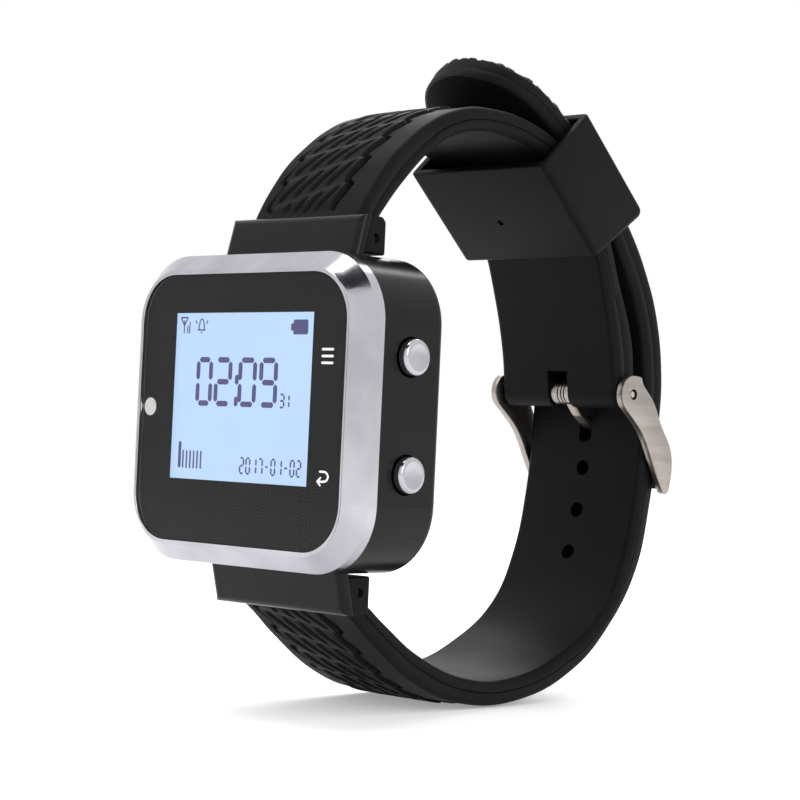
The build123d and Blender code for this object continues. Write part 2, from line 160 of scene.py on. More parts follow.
# A black card above the front darkens the reflection in the bezel's upper corners.
card_way = Vector((0.16, -0.47, 0.87)).normalized()
card_reach = 0.35
bezel_corner = Vector((12, -15, 15)) * MM
bpy.ops.mesh.primitive_plane_add(size=1, location=card_way * card_reach + bezel_corner,
                                 rotation=card_way.to_track_quat("Z", "Y").to_euler())
card = bpy.context.object
card.name = "black_card"
bpy.ops.object.mode_set(mode="EDIT")
bpy.ops.transform.resize(value=(0.3, 0.17, 1), orient_type="LOCAL")
bpy.ops.object.mode_set(mode="OBJECT")
card.visible_camera = False
flock, tree = blank("black_flock")
nap = put(tree, "TexNoise", [("Vector", put(tree, "TexCoord").outputs["Object"])], Scale=600.0)
fuzz = put(tree, "Bump", [("Height", nap.outputs[0])], Strength=0.2, Distance=0.0002)
close(tree, put(tree, "BsdfPrincipled", [("Normal", fuzz.outputs[0])], Base_Color=colour("#0A0A0A"),
                Roughness=0.95, Specular_IOR_Level=0.1))
card.data.materials.append(flock)

# --- Receiver case ----------------------------------------------------------------------
# The case is one black ABS moulding with a glossy tool finish. A sloping hood over each
# strap end and a knuckle under it carry the strap pins; the button wells are moulded in.


def object_place(tree):
    """The place on the piece, in metres, for patterns with a real size."""
    return put(tree, "TexCoord").outputs["Object"]


def mottled(tree, place, scale, dark, light):
    """A colour that wanders softly between two near shades."""
    cloud = put(tree, "TexNoise", [("Vector", place)], Scale=scale, Detail=4.0)
    ramp = put(tree, "ValToRGB", [("Fac", cloud.outputs[0])])
    ramp.color_ramp.elements[0].position = 0.35
    ramp.color_ramp.elements[0].color = colour(dark)
    ramp.color_ramp.elements[1].position = 0.65
    ramp.color_ramp.elements[1].color = colour(light)
    return ramp.outputs["Color"]


def graded(tree, source, low, high):
    """A 0 to 1 value spread over another range, such as a roughness."""
    return put(tree, "MapRange", [("Value", source)], To_Min=low, To_Max=high).outputs[0]


# Moulded glossy ABS: near black, a soft orange-peel skin a few millimetres across and
# hairline handling marks that only break up the reflections.
gloss_abs, tree = blank("moulded_gloss_ABS")
place = object_place(tree)
peel = put(tree, "TexNoise", [("Vector", place)], Scale=350.0, Detail=2.0)
scuffs = put(tree, "TexNoise", [("Vector", place)], Scale=2600.0, Detail=6.0)
skin = put(tree, "Bump", [("Height", peel.outputs[0])], Strength=0.25, Distance=0.00003)
skin = put(tree, "Bump", [("Height", scuffs.outputs[0]), ("Normal", skin.outputs[0])],
           Strength=0.12, Distance=0.00001)
close(tree, put(tree, "BsdfPrincipled", [
    ("Base Color", mottled(tree, place, 220.0, "#0B0B0C", "#101011")),
    ("Roughness", graded(tree, scuffs.outputs[0], 0.14, 0.3)), ("Normal", skin.outputs[0])],
    IOR=1.46, Specular_IOR_Level=0.22))


def dress(nodes, material):
    """Gives CAD nodes a material in place of the record's plain one."""
    for name in nodes:
        for slot in frame["nodes"][name].material_slots:
            slot.material = material


dress(["case_body"], gloss_abs)

# --- Bezel ------------------------------------------------------------------------------
# A die-cast ring, polished and chrome plated, with a broad 45 degree face round the glass.
# Its skirt presses into the case and its edges are broken to about a third of a millimetre.


def softened(node, piece, edge, where, steps=3, sharpest=28):
    """A welded copy of a CAD solid whose sharp edges are rounded where the test says so."""
    bpy.ops.object.select_all(action="DESELECT")
    copy = frame["nodes"][node].copy()
    copy.data = copy.data.copy()
    bpy.context.scene.collection.objects.link(copy)
    copy.parent = None
    copy.name = piece
    copy.data.name = piece
    del copy["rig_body"], copy["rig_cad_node"]
    copy.select_set(True)
    bpy.context.view_layer.objects.active = copy
    bpy.ops.mesh.customdata_custom_splitnormals_clear()
    bpy.ops.object.mode_set(mode="EDIT")
    bpy.ops.mesh.select_all(action="SELECT")
    bpy.ops.mesh.remove_doubles(threshold=0.001 * MM)
    bpy.ops.mesh.dissolve_limited(angle_limit=math.radians(0.5))
    bpy.ops.mesh.select_mode(type="EDGE")
    bpy.ops.mesh.select_all(action="DESELECT")
    shape = bmesh.from_edit_mesh(copy.data)
    for rim in shape.edges:
        if len(rim.link_faces) == 2 and rim.calc_face_angle(0) > math.radians(sharpest):
            middle = (rim.verts[0].co + rim.verts[1].co) / 2 / MM
            rim.select_set(bool(where(middle)))
    bmesh.update_edit_mesh(copy.data)
    bpy.ops.mesh.bevel(offset=edge * MM, segments=steps, affect="EDGES", clamp_overlap=False)
    bpy.ops.mesh.select_all(action="SELECT")
    bpy.ops.mesh.remove_doubles(threshold=0.002 * MM)
    bpy.ops.object.mode_set(mode="OBJECT")
    bpy.ops.object.shade_smooth_by_angle(angle=math.radians(40))
    return copy


def finished(piece, material, body, slot, *nodes):
    """Gives a new piece its material and its body, and hides the CAD nodes it stands for. The slot is not
    used.
    """
    piece.data.materials.clear()
    piece.data.materials.append(material)
    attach(piece, body)
    if nodes:
        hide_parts(*nodes)
    return piece


# Polished chrome plate: a cool grey metal with a faint lengthwise polishing haze.
plate_chrome, tree = blank("polished_chrome_plate")
place = object_place(tree)
haze = put(tree, "TexNoise", [("Vector", place)], Scale=420.0, Detail=5.0)
buff = put(tree, "Bump", [("Height", haze.outputs[0])], Strength=0.12, Distance=0.00002)
close(tree, put(tree, "BsdfPrincipled", [
    ("Base Color", mottled(tree, place, 160.0, "#B2B1B8", "#BFBEC5")),
    ("Roughness", graded(tree, haze.outputs[0], 0.12, 0.22)), ("Normal", buff.outputs[0])],
    Metallic=1.0))
bezel = softened("bezel", "bezel_ring", 0.32, lambda at: at.y < -13.0 and at.x ** 2 + at.z ** 2 > 300)
finished(bezel, plate_chrome, "pager", "polished_steel", "bezel")

# --- Window, its print and the lamp window ----------------------------------------------
# A flat hardened glass with black ink printed on its back round the display, white marks
# beside the two buttons, and a clear spot where the white lamp window shows.


def solid_box(name, low, high):
    """A box primitive between two corners in millimetres, its place in its mesh."""
    middle = [(a + b) / 2 * MM for a, b in zip(low, high)]
    size = [(b - a) * MM for a, b in zip(low, high)]
    bpy.ops.object.select_all(action="DESELECT")
    bpy.ops.mesh.primitive_cube_add(size=1, location=middle, scale=size)
    bpy.ops.object.transform_apply(location=True, rotation=True, scale=True)
    bpy.context.object.name = name
    return bpy.context.object


def solid_rod(name, radius, low, high, steps=48):
    """A rod primitive between two points in millimetres, its place in its mesh."""
    low, high = Vector(low) * MM, Vector(high) * MM
    bpy.ops.object.select_all(action="DESELECT")
    bpy.ops.mesh.primitive_cylinder_add(
        vertices=steps, radius=radius * MM, depth=(high - low).length, location=(low + high) / 2,
        rotation=(high - low).to_track_quat("Z", "Y").to_euler())
    bpy.ops.object.transform_apply(location=True, rotation=True, scale=True)
    bpy.context.object.name = name
    return bpy.context.object


def reshape(piece, pick, kind="EDGE"):
    """Goes to edit mode with just the edges or faces selected that the test picks."""
    bpy.ops.object.select_all(action="DESELECT")
    piece.select_set(True)
    bpy.context.view_layer.objects.active = piece
    bpy.ops.object.mode_set(mode="EDIT")
    bpy.ops.mesh.select_mode(type=kind)
    bpy.ops.mesh.select_all(action="DESELECT")
    shape = bmesh.from_edit_mesh(piece.data)
    for part in shape.edges if kind == "EDGE" else shape.faces:
        part.select_set(bool(pick(part)))
    bmesh.update_edit_mesh(piece.data)


def settle(piece, angle=40):
    """Back to object mode, smooth except at its sharp edges."""
    bpy.ops.object.mode_set(mode="OBJECT")
    bpy.ops.object.shade_smooth_by_angle(angle=math.radians(angle))
    return piece


def along(edge, axis):
    """Whether an edge runs along an axis."""
    way = edge.verts[1].co - edge.verts[0].co
    return abs(way[axis]) > 0.999 * way.length


def combine(piece, other, operation="DIFFERENCE"):
    """Cuts or joins another solid with a piece, and removes it."""
    bpy.ops.object.select_all(action="DESELECT")
    piece.select_set(True)
    bpy.context.view_layer.objects.active = piece
    modifier = piece.modifiers.new("cut", "BOOLEAN")
    modifier.object = other
    modifier.operation = operation
    modifier.solver = "EXACT"
    modifier.material_mode = "TRANSFER"
    bpy.ops.object.modifier_apply(modifier=modifier.name)
    bpy.data.objects.remove(other)
    return piece


def joined(pieces, name):
    """Several pieces of one kind as one object."""
    bpy.ops.object.select_all(action="DESELECT")
    for piece in pieces:
        piece.select_set(True)
    bpy.context.view_layer.objects.active = pieces[0]
    bpy.ops.object.join()
    bpy.context.object.name = name
    return bpy.context.object


# Hardened float glass: clear and very smooth. Its anti-glare film is taken in as a low index.
float_glass, tree = blank("hardened_glass")
wipe = put(tree, "TexNoise", [("Vector", object_place(tree))], Scale=130.0, Detail=5.0)
close(tree, put(tree, "BsdfPrincipled", [
    ("Roughness", graded(tree, wipe.outputs[0], 0.01, 0.06))],
    Base_Color=colour("#FFFFFF"), IOR=1.27, Transmission_Weight=1.0))
dress(["display_window"], float_glass)

screen_x, screen_z = -0.2, 1.58
view_width, view_height = 25.9, 21.9
glass_half_width, glass_half_height, glass_corner = 19.15, 17.65, 6.3
print_back, print_thickness = -14.152, 0.03
lamp_x, lamp_radius = -17.8, 1.2
mask = solid_box("window_print", (-glass_half_width, print_back - print_thickness, -glass_half_height),
                 (glass_half_width, print_back, glass_half_height))
reshape(mask, lambda edge: along(edge, 1))
bpy.ops.mesh.bevel(offset=glass_corner * MM, segments=12, affect="EDGES")
settle(mask, 30)
opening = solid_box("opening", (screen_x - view_width / 2, -15, screen_z - view_height / 2),
                    (screen_x + view_width / 2, -13, screen_z + view_height / 2))
combine(mask, opening)
combine(mask, solid_rod("lamp_hole", lamp_radius, (lamp_x, -15, 0), (lamp_x, -13, 0)))

# Screen-printed ink: matt near-black with the faint mark of the mesh, half a millimetre wide.
ink, tree = blank("screen_printed_black_ink")
place = object_place(tree)
mesh_mark = put(tree, "TexNoise", [("Vector", place)], Scale=1800.0, Detail=1.0)
tooth = put(tree, "Bump", [("Height", mesh_mark.outputs[0])], Strength=0.1, Distance=0.00001)
close(tree, put(tree, "BsdfPrincipled", [
    ("Base Color", mottled(tree, place, 90.0, "#0A0A0A", "#0E0E0E")), ("Normal", tooth.outputs[0])],
    Roughness=0.7, Specular_IOR_Level=0.2))
finished(mask, ink, "pager", "black_matte")

# White ink for the two marks: three short lines for the menu, and a return arrow. The ink carries a faint
# painted glow so it stays bright behind the glass.
white_ink, tree = blank("screen_printed_white_ink")
place = object_place(tree)
close(tree, put(tree, "BsdfPrincipled", [("Base Color", mottled(tree, place, 4000.0, "#E8E8E8", "#FFFFFF"))],
                Roughness=0.6, Emission_Color=colour("#FFFFFF"), Emission_Strength=0.35))
mark_y = print_back - 0.045


def printed_line(points, width, y, name):
    """A flat printed stroke through points given as (x, z) in millimetres."""
    half = width / 2
    pieces = []
    for (x0, z0), (x1, z1) in zip(points, points[1:]):
        run = math.hypot(x1 - x0, z1 - z0)
        stroke = solid_box(name, (-half, y - 0.006, -half), (run + half, y + 0.006, half))
        reshape(stroke, lambda edge: along(edge, 1))
        bpy.ops.mesh.bevel(offset=half * 0.9 * MM, segments=3, affect="EDGES")
        settle(stroke)
        swing = Matrix.Rotation(-math.atan2(z1 - z0, x1 - x0), 4, "Y")
        stroke.data.transform(Matrix.Translation(Vector((x0, 0, z0)) * MM) @ swing)
        pieces.append(stroke)
    return joined(pieces, name)


menu_x, menu_z, menu_half, menu_gap = 15.5, 7.0, 0.9, 0.85
lines = [printed_line([(menu_x - menu_half, menu_z + rise), (menu_x + menu_half, menu_z + rise)],
                      0.32, mark_y, "menu_line")
         for rise in (-menu_gap, 0, menu_gap)]
finished(joined(lines, "menu_mark"), white_ink, "pager", "white_plastic")
bend_radius, stroke = 0.62, 0.26
bend = [(15.75 + 1.25 * bend_radius * math.cos(math.radians(angle)),
         -8.0 + bend_radius * math.sin(math.radians(angle))) for angle in range(90, -91, -30)]
arrow = printed_line([(15.05, -7.38), *bend, (14.75, -8.62)], stroke, mark_y, "return_shaft")
head = printed_line([(15.2, -8.15), (14.7, -8.62), (15.2, -9.09)], stroke, mark_y, "return_head")
finished(joined([arrow, head], "return_mark"), white_ink, "pager", "white_plastic")

# Frosted polycarbonate light pipe: milky white, with a faint painted glow from its emission, though no lamp
# lights it.
light_pipe, tree = blank("frosted_polycarbonate")
frost = put(tree, "TexNoise", [("Vector", object_place(tree))], Scale=5000.0, Detail=2.0)
close(tree, put(tree, "BsdfPrincipled", [("Roughness", graded(tree, frost.outputs[0], 0.35, 0.6))],
                Base_Color=colour("#EDEDEA"), Subsurface_Weight=0.2, Subsurface_Radius=(0.001, 0.001, 0.001),
                Emission_Color=colour("#FFFFFF"), Emission_Strength=0.22))
dress(["lamp_window"], light_pipe)

# --- Display ----------------------------------------------------------------------------
# A segment liquid-crystal cell in front of a white-blue backlight. Its lit field is pale
# blue and the segments that are on show violet; they are laid on the cell as thin shapes.

# Backlit liquid crystal: light comes through the whole field, a little unevenly.
lit_field, tree = blank("backlit_liquid_crystal")
place = object_place(tree)
spread = put(tree, "TexNoise", [("Vector", place)], Scale=45.0, Detail=1.0)
close(tree, put(tree, "BsdfPrincipled", [
    ("Emission Strength", graded(tree, spread.outputs[0], 0.9, 1.0))],
    Base_Color=colour("#20262C"), Roughness=0.35, Emission_Color=colour("#BBDAFF")))
dress(["display_cell"], lit_field)

# Driven segments: the same cell twisted dark, so the backlight comes through as dim violet.
driven, tree = blank("driven_liquid_crystal")
place = object_place(tree)
close(tree, put(tree, "BsdfPrincipled", [("Base Color", mottled(tree, place, 900.0, "#100E20", "#14122A"))],
                Roughness=0.4, Emission_Color=colour("#544FA0"), Emission_Strength=0.45))
cell_y = -13.815


def segment_bar(x0, z0, x1, z1, width, name="segment", cut=0.36):
    """One segment from end to end, its corners cut by a share of its width."""
    run = math.hypot(x1 - x0, z1 - z0)
    bar = solid_box(name, (0, cell_y - 0.012, -width / 2), (run, cell_y + 0.012, width / 2))
    reshape(bar, lambda edge: along(edge, 1))
    bpy.ops.mesh.bevel(offset=min(width * cut, run * 0.3) * MM, segments=1, affect="EDGES")
    bpy.ops.object.mode_set(mode="OBJECT")
    swing = Matrix.Rotation(-math.atan2(z1 - z0, x1 - x0), 4, "Y")
    bar.data.transform(Matrix.Translation(Vector((x0, 0, z0)) * MM) @ swing)
    return bar


# Which of the seven segments each figure lights: top, upper right, lower right, bottom,
# lower left, upper left, middle.
LIT = {"0": "ABCDEF", "1": "BC", "2": "ABGED", "3": "ABGCD", "7": "ABC", "9": "ABCDFG", "-": "G"}


def figure(sign, left, low, width, height, stroke):
    """A seven-segment figure with its lower left corner given."""
    gap = stroke * 0.34
    right, top, middle = left + width, low + height, low + height / 2
    ends = {"A": (left + gap, top, right - gap, top), "D": (left + gap, low, right - gap, low),
            "G": (left + gap, middle, right - gap, middle),
            "B": (right, middle + gap, right, top - gap), "C": (right, low + gap, right, middle - gap),
            "F": (left, middle + gap, left, top - gap), "E": (left, low + gap, left, middle - gap)}
    return [segment_bar(*ends[letter], stroke) for letter in LIT[sign]]


bars = []
time_low, time_height, time_stroke = 0.68, 5.71, 0.72
for sign, left, width in (("0", -8.84, 2.46), ("2", -5.3, 2.68), ("0", -0.7, 2.74), ("9", 3.25, 2.71)):
    bars += figure(sign, left, time_low, width, time_height, time_stroke)
for low in (0.36, 3.2):
    bars.append(segment_bar(-1.32, low, -1.32, low + 1.3, 0.7))
fine_stroke = 0.26
for sign, left in (("3", 6.9), ("1", 7.83)):
    bars += figure(sign, left, 0.43, 0.75, 1.64, fine_stroke)
for order, sign in enumerate("2017-01-02"):
    bars += figure(sign, 0.02 + 1.17 * order, -8.22, 0.68, 1.98, fine_stroke)
# Weekday strip: seven tall cells, the first one filled.
for day in range(7):
    width, top = (0.55, -4.45) if day == 0 else (0.28, -5.6)
    bars.append(segment_bar(-11.8 + day * 0.7, -8.0, -11.8 + day * 0.7, top, width))
# Aerial with two strength bars, a call bell with its sound, and a full battery.
aerial = [(-12.75, 11.95, -11.35, 11.95), (-12.75, 11.95, -12.05, 10.9), (-11.35, 11.95, -12.05, 10.9),
          (-12.05, 11.6, -12.05, 9.85), (-11.35, 10.9, -11.35, 9.85), (-10.95, 11.4, -10.95, 9.85)]
bell = [(-9.15, 10.35, -8.95, 11.5), (-8.95, 11.5, -8.6, 11.8), (-8.6, 11.8, -8.25, 11.5),
        (-8.25, 11.5, -8.05, 10.35), (-9.35, 10.3, -7.85, 10.3), (-8.75, 9.95, -8.45, 9.95),
        (-9.75, 11.6, -9.55, 11.1), (-7.65, 11.1, -7.45, 11.6)]
bars += [segment_bar(*ends, 0.2) for ends in aerial + bell]
battery_z = 10.65
bars.append(segment_bar(8.78, battery_z, 11.45, battery_z, 1.9, cut=0.1))
bars.append(segment_bar(8.35, battery_z, 8.78, battery_z, 0.9, cut=0.1))
finished(joined(bars, "display_segments"), driven, "pager", "display")


def plain_finish(name, dark, light, metallic, rough, grain, depth):
    """A finish for a part inside the case: two near shades and a grain given in millimetres."""
    material, tree = blank(name)
    place = object_place(tree)
    specks = put(tree, "TexNoise", [("Vector", place)], Scale=1000.0 / grain, Detail=3.0)
    relief = put(tree, "Bump", [("Height", specks.outputs[0])], Strength=0.4, Distance=depth * MM)
    close(tree, put(tree, "BsdfPrincipled", [
        ("Base Color", mottled(tree, place, 300.0 / grain, dark, light)),
        ("Roughness", graded(tree, specks.outputs[0], rough - 0.08, rough + 0.08)),
        ("Normal", relief.outputs[0])], Metallic=metallic))
    return material


# Milky acrylic light guide, black moulded carrier and amber polyimide flex.
dress(["backlight"], plain_finish("milky_acrylic", "#DDE4EA", "#EEF2F5", 0.0, 0.4, 1.0, 0.002))
moulded_black = plain_finish("moulded_black_nylon", "#0D0D0E", "#151516", 0.0, 0.55, 0.3, 0.01)
dress(["display_carrier"], moulded_black)
dress(["display_ribbon"], plain_finish("polyimide_flex", "#7A3F0C", "#8C4C12", 0.0, 0.35, 0.5, 0.003))
# Closed-cell foam: the dust gasket under the glass.
foam = plain_finish("closed_cell_foam", "#101010", "#1A1A1A", 0.0, 0.85, 0.25, 0.03)
dress(["window_gasket"], foam)

# --- Rear cover and charging socket -----------------------------------------------------
# A flat cover of spark-textured black ABS lies flush in the back, held by four small
# stainless screws on a rubber ring. The charging socket's tinned shell sits in the wall.

# Spark-textured ABS: a fine even pitting of 0.25 mm that makes the black read dark grey.
spark_abs, tree = blank("spark_textured_ABS")
place = object_place(tree)
pits = put(tree, "TexVoronoi", [("Vector", place)], Scale=4000.0)
pitting = put(tree, "Bump", [("Height", pits.outputs["Distance"])], Strength=0.5, Distance=0.00003)
close(tree, put(tree, "BsdfPrincipled", [
    ("Base Color", mottled(tree, place, 250.0, "#131314", "#1A1A1B")),
    ("Roughness", graded(tree, pits.outputs["Distance"], 0.45, 0.6)), ("Normal", pitting.outputs[0])],
    Specular_IOR_Level=0.4))
cover = softened("rear_cover", "rear_cover_plate", 0.12,
                 lambda at: at.y > -0.6 and abs(at.x) + abs(at.z) > 22)
finished(cover, spark_abs, "pager", "black_matte", "rear_cover")
stainless = plain_finish("turned_stainless_steel", "#B9B6B1", "#CBC8C3", 1.0, 0.28, 0.4, 0.004)
dress(["cover_screws", "board_screws"], stainless)
seal_rubber = plain_finish("nitrile_rubber", "#161514", "#1F1E1D", 0.0, 0.7, 0.3, 0.01)
dress(["rear_seal", "button_seals", "motor_boot"], seal_rubber)
tinned = plain_finish("tinned_plate", "#A9ABA8", "#BEC0BD", 1.0, 0.35, 0.5, 0.003)
dress(["charging_socket", "crystal", "battery_tabs", "vibration_motor"], tinned)

# --- Board and what it carries ----------------------------------------------------------
# A green two-sided glass-fibre board with moulded epoxy chips, a gold-flashed stamped
# aerial strip along the top wall and a white status lamp behind its light pipe.
dress(["main_board"], plain_finish("solder_mask_on_glass_fibre", "#0B3A1C", "#124A26", 0.0, 0.4, 0.8, 0.006))
dress(["receiver_chip", "controller_chip", "memory_chip", "buzzer"],
      plain_finish("moulded_epoxy", "#121212", "#1B1B1B", 0.0, 0.6, 0.2, 0.008))
dress(["aerial_strip"], plain_finish("gold_flashed_brass", "#B98F3E", "#CDA552", 1.0, 0.3, 0.6, 0.003))
white_nylon = plain_finish("white_nylon", "#D8D7D2", "#E6E5E1", 0.0, 0.45, 0.4, 0.005)
dress(["status_lamp", "mode_switch_plunger", "return_switch_plunger"], white_nylon)
dress(["mode_switch", "return_switch"], moulded_black)

# --- Battery, vibration motor -----------------------------------------------------------
# A lithium pouch cell in aluminium laminate on a foam pad; a coin-less rod motor in a
# rubber boot turns a sintered half weight on its shaft.
dress(["battery"], plain_finish("aluminium_laminate_pouch", "#8F9195", "#A3A5A9", 0.6, 0.45, 1.2, 0.02))
dress(["battery_pad"], foam)
dress(["vibration_weight", "motor_shaft", "mode_button_clip", "return_button_clip"], stainless)

# --- Push buttons -----------------------------------------------------------------------
# Each button is a turned brass cap, chrome plated, with a rounded rim and a slightly
# dished face. Its stem runs through the case wall and carries the clip.
button_y, cap_radius, cap_face, cap_back = -6.39, 2.34, 23.45, 21.2


def faces_towards(face, x):
    """Whether a face looks along X, to the given side."""
    return face.normal.x * x > 0.9


for body, height in (("mode_button", 7.36), ("return_button", -7.36)):
    cap = solid_rod(body + "_cap", cap_radius, (cap_back, button_y, height),
                    (cap_face, button_y, height), 64)
    reshape(cap, lambda face: faces_towards(face, 1), "FACE")
    bpy.ops.mesh.bevel(offset=0.55 * MM, segments=6, affect="EDGES")
    bpy.ops.object.mode_set(mode="OBJECT")
    reshape(cap, lambda face: faces_towards(face, 1) and len(face.verts) > 8, "FACE")
    bpy.ops.mesh.inset(thickness=0.12 * MM)
    for step, drop in ((0.25, 0.05), (0.4, 0.05), (0.4, 0.03)):
        bpy.ops.mesh.inset(thickness=step * MM)
        bpy.ops.transform.translate(value=(-drop * MM, 0, 0))
    bpy.ops.object.mode_set(mode="OBJECT")
    reshape(cap, lambda face: faces_towards(face, -1), "FACE")
    bpy.ops.mesh.inset(thickness=(cap_radius - 1.0) * MM)
    bpy.ops.mesh.extrude_region_move(TRANSFORM_OT_translate={"value": (-2.7 * MM, 0, 0)})
    bpy.ops.mesh.inset(thickness=0.3 * MM)
    bpy.ops.mesh.extrude_region_move(TRANSFORM_OT_translate={"value": (-1.3 * MM, 0, 0)})
    settle(cap, 35)
    finished(cap, plate_chrome, body, "chrome", body)

# --- Strap ------------------------------------------------------------------------------
# Two straps of moulded black rubber. Their outer faces carry a tread of slanting strokes
# between wavy borders, a moulding line runs along their sides and the inner edges are cut.
BAND_Y, BAND_Z = 19.95, 13.1


def band_point(radius, angle):
    """A point of the side view on an arc about the keeper's centre, counted from Y towards Z."""
    return (BAND_Y + radius * math.cos(math.radians(angle)), BAND_Z + radius * math.sin(math.radians(angle)))


def side_curve(points):
    """A smooth line through points of the side view, as a function of the share of its length."""
    bpy.ops.object.select_all(action="DESELECT")
    bpy.ops.curve.primitive_bezier_curve_add()
    line = bpy.context.object
    line.data.resolution_u = 16
    spline = line.data.splines[0]
    spline.bezier_points.add(len(points) - len(spline.bezier_points))
    for knot, (y, z) in zip(spline.bezier_points, points):
        knot.co = (0, y, z)
        knot.handle_left_type = knot.handle_right_type = "AUTO"
    bpy.context.view_layer.update()
    mesh = bpy.data.meshes.new_from_object(line)
    way = np.array([vertex.co[1:3] for vertex in mesh.vertices])
    bpy.data.objects.remove(line)
    length = np.concatenate([[0], np.cumsum(np.linalg.norm(np.diff(way, axis=0), axis=1))])
    share = length / length[-1]

    def line_at(place_on_it):
        return np.stack([np.interp(place_on_it, share, way[:, axis]) for axis in (0, 1)], -1)

    return line_at, length[-1]


def smooth_step(low, high, value):
    """0 below low, 1 above high and an even S between."""
    share = np.clip((value - low) / (high - low), 0, 1)
    return share * share * (3 - 2 * share)


# Length of one wave, width of one row and how far strokes and borders swing, in millimetres.
WAVE, PITCH, SWAY, BORDER_SWAY = 4.8, 2.5, 2.5, 1.1


def tread(run, across, rows):
    """Height of the tread in millimetres: slanting strokes in rows between two wavy borders."""
    along_it = (run - 0.35 * across) / WAVE
    phase = along_it - np.floor(along_it)
    drift = np.where(phase < 0.75, smooth_step(0, 0.75, phase), smooth_step(1, 0.75, phase))
    bordered = (across - BORDER_SWAY * (drift - 0.5)) / PITCH
    slanted = (across - SWAY * (drift - 0.5)) / PITCH
    line = np.clip(np.round(slanted + rows / 2), 1, rows - 1) - rows / 2
    inside = smooth_step(rows / 2 + 0.02, rows / 2 - 0.12, np.abs(bordered))
    border = 1 - smooth_step(0.1, 0.5, np.abs(np.abs(bordered) - rows / 2) * PITCH)
    stroke = 1 - smooth_step(0.1, 0.55, np.abs(slanted - line) * PITCH)
    stroke = stroke * smooth_step(0.0, 0.16, phase) * (1 - smooth_step(0.66, 0.82, phase))
    crest = 0.12 + 0.3 * smooth_step(0.0, 0.6, phase) * (1 - smooth_step(0.7, 0.98, phase))
    return crest * inside * (1 - stroke) * (1 - border) - 0.5 * stroke * inside - 0.9 * border


def strap(name, outer, inner, zones, half_width, stations, close_round=None):
    """A strap between two side lines; a zone of tread is a start, an end, its rows, margin and middle."""
    outer_at, length = side_curve(outer)
    inner_at, _ = side_curve(inner)
    share = np.array(stations) / length
    out, ins = outer_at(share), inner_at(share)
    if close_round is not None:
        out, ins = (np.concatenate([a, b]) for a, b in zip((out, ins), close_round))
    middle = (out + ins) / 2
    thick = np.linalg.norm(out - ins, axis=1)
    way = np.where(thick[:, None] > 1e-6, (out - ins) / np.maximum(thick, 1e-6)[:, None], 0)
    run = np.concatenate([np.array(stations), np.full(len(out) - len(stations), length)])
    half = half_width(middle, run)
    flat = np.linspace(-1, 1, 105)
    corner = np.minimum(1, thick / 2.5)
    rows = []
    for i in range(len(out)):
        w, t, c = half[i], thick[i], corner[i] * min(1, half[i] / 2)
        face = flat * (w - 0.5 * c)
        lift = np.zeros_like(face)
        for first, last, across_rows, margin, centre in zones:
            if w > 2:
                strength = smooth_step(first, first + 2, run[i]) * smooth_step(last, last - 2, run[i])
                strength = strength * smooth_step(margin, margin + 0.8, w - np.abs(face))
                lift += tread(run[i], face - centre, across_rows) * strength
        # Down the side: a rounded edge, the moulding line halfway and a cut inner edge.
        right = [(w - 0.15 * c, 0.15 * c), (w, 0.5 * c), (w, 0.50 * t), (w - 0.13 * c, 0.53 * t),
                 (w, 0.56 * t), (w, t - 0.85 * c), (w - 0.45 * c, t - 0.25 * c)]
        back = flat[::-1] * (w - 0.9 * c)
        ring = [(x, -h) for x, h in zip(face, lift)] + right + [(x, t) for x in back]
        ring += [(-x, d) for x, d in reversed(right)]
        ring.append(ring[0])
        rows.append([(x, *(out[i] - way[i] * d)) for x, d in ring])
    grid = np.array(rows) * MM
    bpy.ops.object.select_all(action="DESELECT")
    bpy.ops.mesh.primitive_grid_add(x_subdivisions=grid.shape[1] - 1, y_subdivisions=grid.shape[0] - 1)
    piece = bpy.context.object
    piece.name = name
    piece.data.vertices.foreach_set("co", grid.reshape(-1))
    reshape(piece, lambda face: True, "FACE")
    bpy.ops.mesh.remove_doubles(threshold=0.002 * MM)
    bpy.ops.mesh.select_all(action="DESELECT")
    bpy.ops.mesh.select_mode(type="EDGE")
    bpy.ops.mesh.select_non_manifold(extend=False, use_wire=False, use_boundary=True, use_multi_face=False,
                                     use_non_contiguous=False, use_verts=False)
    bpy.ops.mesh.edge_face_add()
    bpy.ops.mesh.select_all(action="SELECT")
    bpy.ops.mesh.normals_make_consistent(inside=False)
    return settle(piece, 50)


def taper(middle):
    """The strap's half width: it widens from the case towards the buckle."""
    return 10.0 + 1.2 * np.clip((middle[:, 0] + 3) / 48, 0, 1)


def strap_end(name, side):
    """The thick end that fills the lug; its gap for the knuckle is cut by cut_lug."""
    front, rear, case_side, far_side = -6.0, -1.75, 20.75, 25.75
    end = solid_box(name, (-12.4, front, case_side), (12.4, rear, far_side))
    reshape(end, lambda face: True, "FACE")
    bpy.ops.mesh.bisect(plane_co=(0, front * MM, case_side * MM), plane_no=(0, -0.961, 0.277),
                        use_fill=True, clear_outer=True)
    bpy.ops.mesh.select_all(action="SELECT")
    bpy.ops.mesh.bisect(plane_co=(0, rear * MM, 25.1 * MM), plane_no=(0, 0.737, 0.676),
                        use_fill=True, clear_outer=True)
    settle(end)
    reshape(end, lambda edge: edge.calc_face_angle(0) > 0.3)
    bpy.ops.mesh.bevel(offset=0.3 * MM, segments=3, affect="EDGES")
    settle(end)
    if side < 0:
        end.data.transform(Matrix.Scale(-1, 4, (0, 0, 1)))
        end.data.flip_normals()
    return end


def cut_lug(piece, side):
    """The gap round the case's knuckle and the bore for the pin."""
    low, high = sorted((side * 19.0, side * 24.9))
    combine(piece, solid_box("gap", (-6.1, -8, low), (6.1, -1.0, high)))
    combine(piece, solid_rod("bore", 0.63, (-14, -3.6, side * 22.85), (14, -3.6, side * 22.85), 32))


